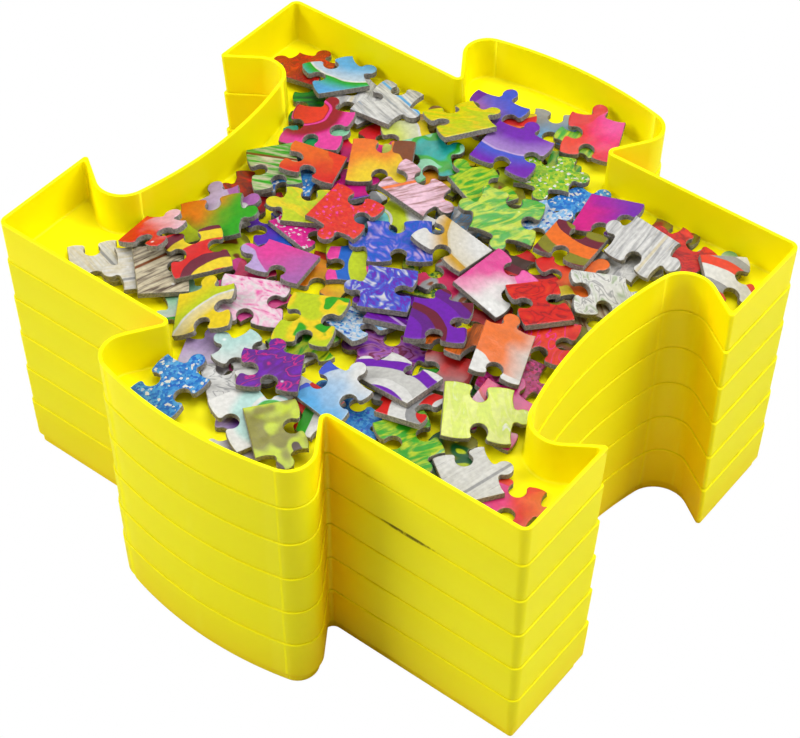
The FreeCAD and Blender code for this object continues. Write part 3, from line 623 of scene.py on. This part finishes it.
def card_material(pictures):
    """Glossy printed top and rough grey board sides, told apart by how far a face looks up."""
    material, tree, shader = new_material("printed_card")
    place = add_node(tree, "ShaderNodeUVMap", uv_map="card").outputs[0]
    layers = [
        add_node(tree, "ShaderNodeAttribute", attribute_name="print_" + title).outputs
        for title in PRINT_LAYERS
    ]
    colours = [layer["Color"] for layer in layers[:3]]
    how = layers[3]
    numbers = add_node(tree, "ShaderNodeSeparateColor", {0: how["Color"]}).outputs
    picture = use_group(tree, pictures, {
        "Place": place, "First": colours[0], "Second": colours[1], "Third": colours[2],
        "Pattern": numbers[0], "Seed": numbers[1], "Turn": numbers[2], "Shift": how["Alpha"],
    })
    facing = add_node(tree, "ShaderNodeNewGeometry").outputs["Normal"]
    facing = add_node(tree, "ShaderNodeSeparateXYZ", {0: facing}).outputs["Z"]
    printed = add_ramp(tree, facing, 0.50, 0.62)
    spot = add_node(tree, "ShaderNodeTexCoord").outputs["Object"]
    pulp = add_noise(tree, spot, 1500.0, 4.0)
    side = add_mix(tree, add_ramp(tree, pulp, 0.3, 0.7), srgb(102, 98, 93), srgb(142, 137, 129))
    tree.links.new(add_mix(tree, printed, side, picture["Color"]), shader.inputs["Base Color"])
    rough = add_ramp(tree, printed, 0.0, 1.0, 0.9, 0.42, smooth=False)
    tree.links.new(rough, shader.inputs["Roughness"])
    tree.links.new(add_math(tree, "MULTIPLY", printed, 0.3), shader.inputs["Coat Weight"])
    shader.inputs["Coat Roughness"].default_value = 0.2
    waves = add_noise(tree, spot, 170.0, 1.0)
    height = add_math(tree, "MULTIPLY_ADD", waves, 0.8, add_math(tree, "MULTIPLY", pulp, 0.12))
    bump = {"Strength": 0.5, "Distance": 0.0007, "Height": height}
    bump = add_node(tree, "ShaderNodeBump", bump).outputs[0]
    tree.links.new(bump, shader.inputs["Normal"])
    tree.links.new(bump, shader.inputs["Coat Normal"])
    return material


card = card_material(print_group())
heap = {name: ("lower_heap", "printed_card_lower", looks) for name, looks in GROUP_PRINTS.items()}
for number, look in enumerate(TOP_PRINTS, start=1):
    heap["jigsaw_piece_%02d" % number] = ("upper_heap", "printed_card", (look,))
for node_name, (body, finish, looks) in heap.items():
    cards = make_cards("printed_" + node_name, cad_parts[node_name], looks)
    cards.data.materials.append(card)
    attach(cards, body)
    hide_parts(node_name)


# Stage -------------------------------------------------------------------------------
# A pale floor and a sky that the camera sees as plain white, a soft light about 40 degrees
# up on either side and one over the trays, and a camera looking 46 degrees down on a corner.

SKY_STRENGTH = 0.26
LIT_POINT = (0, 0, 0.05)
FLOOR_HALF, FLOOR_DROP = 6.0, 0.0002
CAMERA_PLACE = (0.2974, -0.3832, 0.5506)
CAMERA_TURN, CAMERA_TILT, CAMERA_ROLL = 37.69, 43.56, 0.25
CAMERA_LENS, CAMERA_SENSOR = 97.32, 36.0


def stage_material():
    """Pale matt floor, faintly uneven, that goes to plain white where the camera looks at it."""
    material, tree, shader = new_material("pale_floor")
    place = add_node(tree, "ShaderNodeTexCoord").outputs["Object"]
    noise = use_group(tree, uneven, {"Place": place, "Drift scale": 3.0, "Grain scale": 200.0})
    tone = add_mix(tree, noise["Drift"], srgb(186, 186, 184), srgb(194, 194, 192))
    tree.links.new(tone, shader.inputs["Base Color"])
    shader.inputs["Roughness"].default_value = 0.8
    shader.inputs["Specular IOR Level"].default_value = 0.2
    plain = add_node(tree, "ShaderNodeEmission", {"Color": WHITE, "Strength": 1.0})
    path = add_node(tree, "ShaderNodeLightPath")
    shares = {0: path.outputs["Is Camera Ray"], 1: shader.outputs[0], 2: plain.outputs[0]}
    mixed = add_node(tree, "ShaderNodeMixShader", shares)
    output = next(n for n in tree.nodes if n.type == "OUTPUT_MATERIAL")
    tree.links.new(mixed.outputs[0], output.inputs["Surface"])
    return material


def add_light(name, place, size, watts):
    """Square soft light, aimed at the lower half of the stack."""
    light = bpy.data.lights.new(name, "AREA")
    light.shape = "SQUARE"
    light.size = size
    light.energy = watts
    lamp = bpy.data.objects.new(name, light)
    bpy.context.collection.objects.link(lamp)
    lamp.location = place
    lamp.rotation_mode = "QUATERNION"
    lamp.rotation_quaternion = (Vector(LIT_POINT) - Vector(place)).to_track_quat("-Z", "Y")


floor_mesh = bpy.data.meshes.new("floor")
corners = [(x * FLOOR_HALF, y * FLOOR_HALF, 0) for x, y in ((-1, -1), (1, -1), (1, 1), (-1, 1))]
floor_mesh.from_pydata(corners, [], [(0, 1, 2, 3)])
floor_mesh.materials.append(stage_material())
floor = bpy.data.objects.new("floor", floor_mesh)
floor.location.z = -FLOOR_DROP
bpy.context.collection.objects.link(floor)

add_light("left_light", (-0.70, -0.75, 0.85), size=0.6, watts=11.9)
add_light("right_light", (0.95, 0.38, 0.85), size=0.6, watts=8.9)
add_light("top_light", (0.1, 0.25, 1.30), size=0.9, watts=14.5)

world = bpy.data.worlds.new("white_room")
world.use_nodes = True
sky = world.node_tree.nodes["Background"]
sky.inputs["Color"].default_value = WHITE
seen = add_node(world.node_tree, "ShaderNodeLightPath").outputs["Is Camera Ray"]
strength = add_math(world.node_tree, "MAXIMUM", seen, SKY_STRENGTH)
world.node_tree.links.new(strength, sky.inputs["Strength"])
bpy.context.scene.world = world

lens = bpy.data.cameras.new("camera")
lens.lens = CAMERA_LENS
lens.sensor_width = CAMERA_SENSOR
lens.clip_start = 0.05
lens.clip_end = 20.0
camera = bpy.data.objects.new("camera", lens)
bpy.context.collection.objects.link(camera)
camera.matrix_world = (
    Matrix.Translation(CAMERA_PLACE)
    @ Matrix.Rotation(math.radians(CAMERA_TURN), 4, "Z")
    @ Matrix.Rotation(math.radians(CAMERA_TILT), 4, "X")
    @ Matrix.Rotation(math.radians(CAMERA_ROLL), 4, "Z")
)
bpy.context.scene.camera = camera
bpy.context.scene.view_settings.view_transform = "Standard"
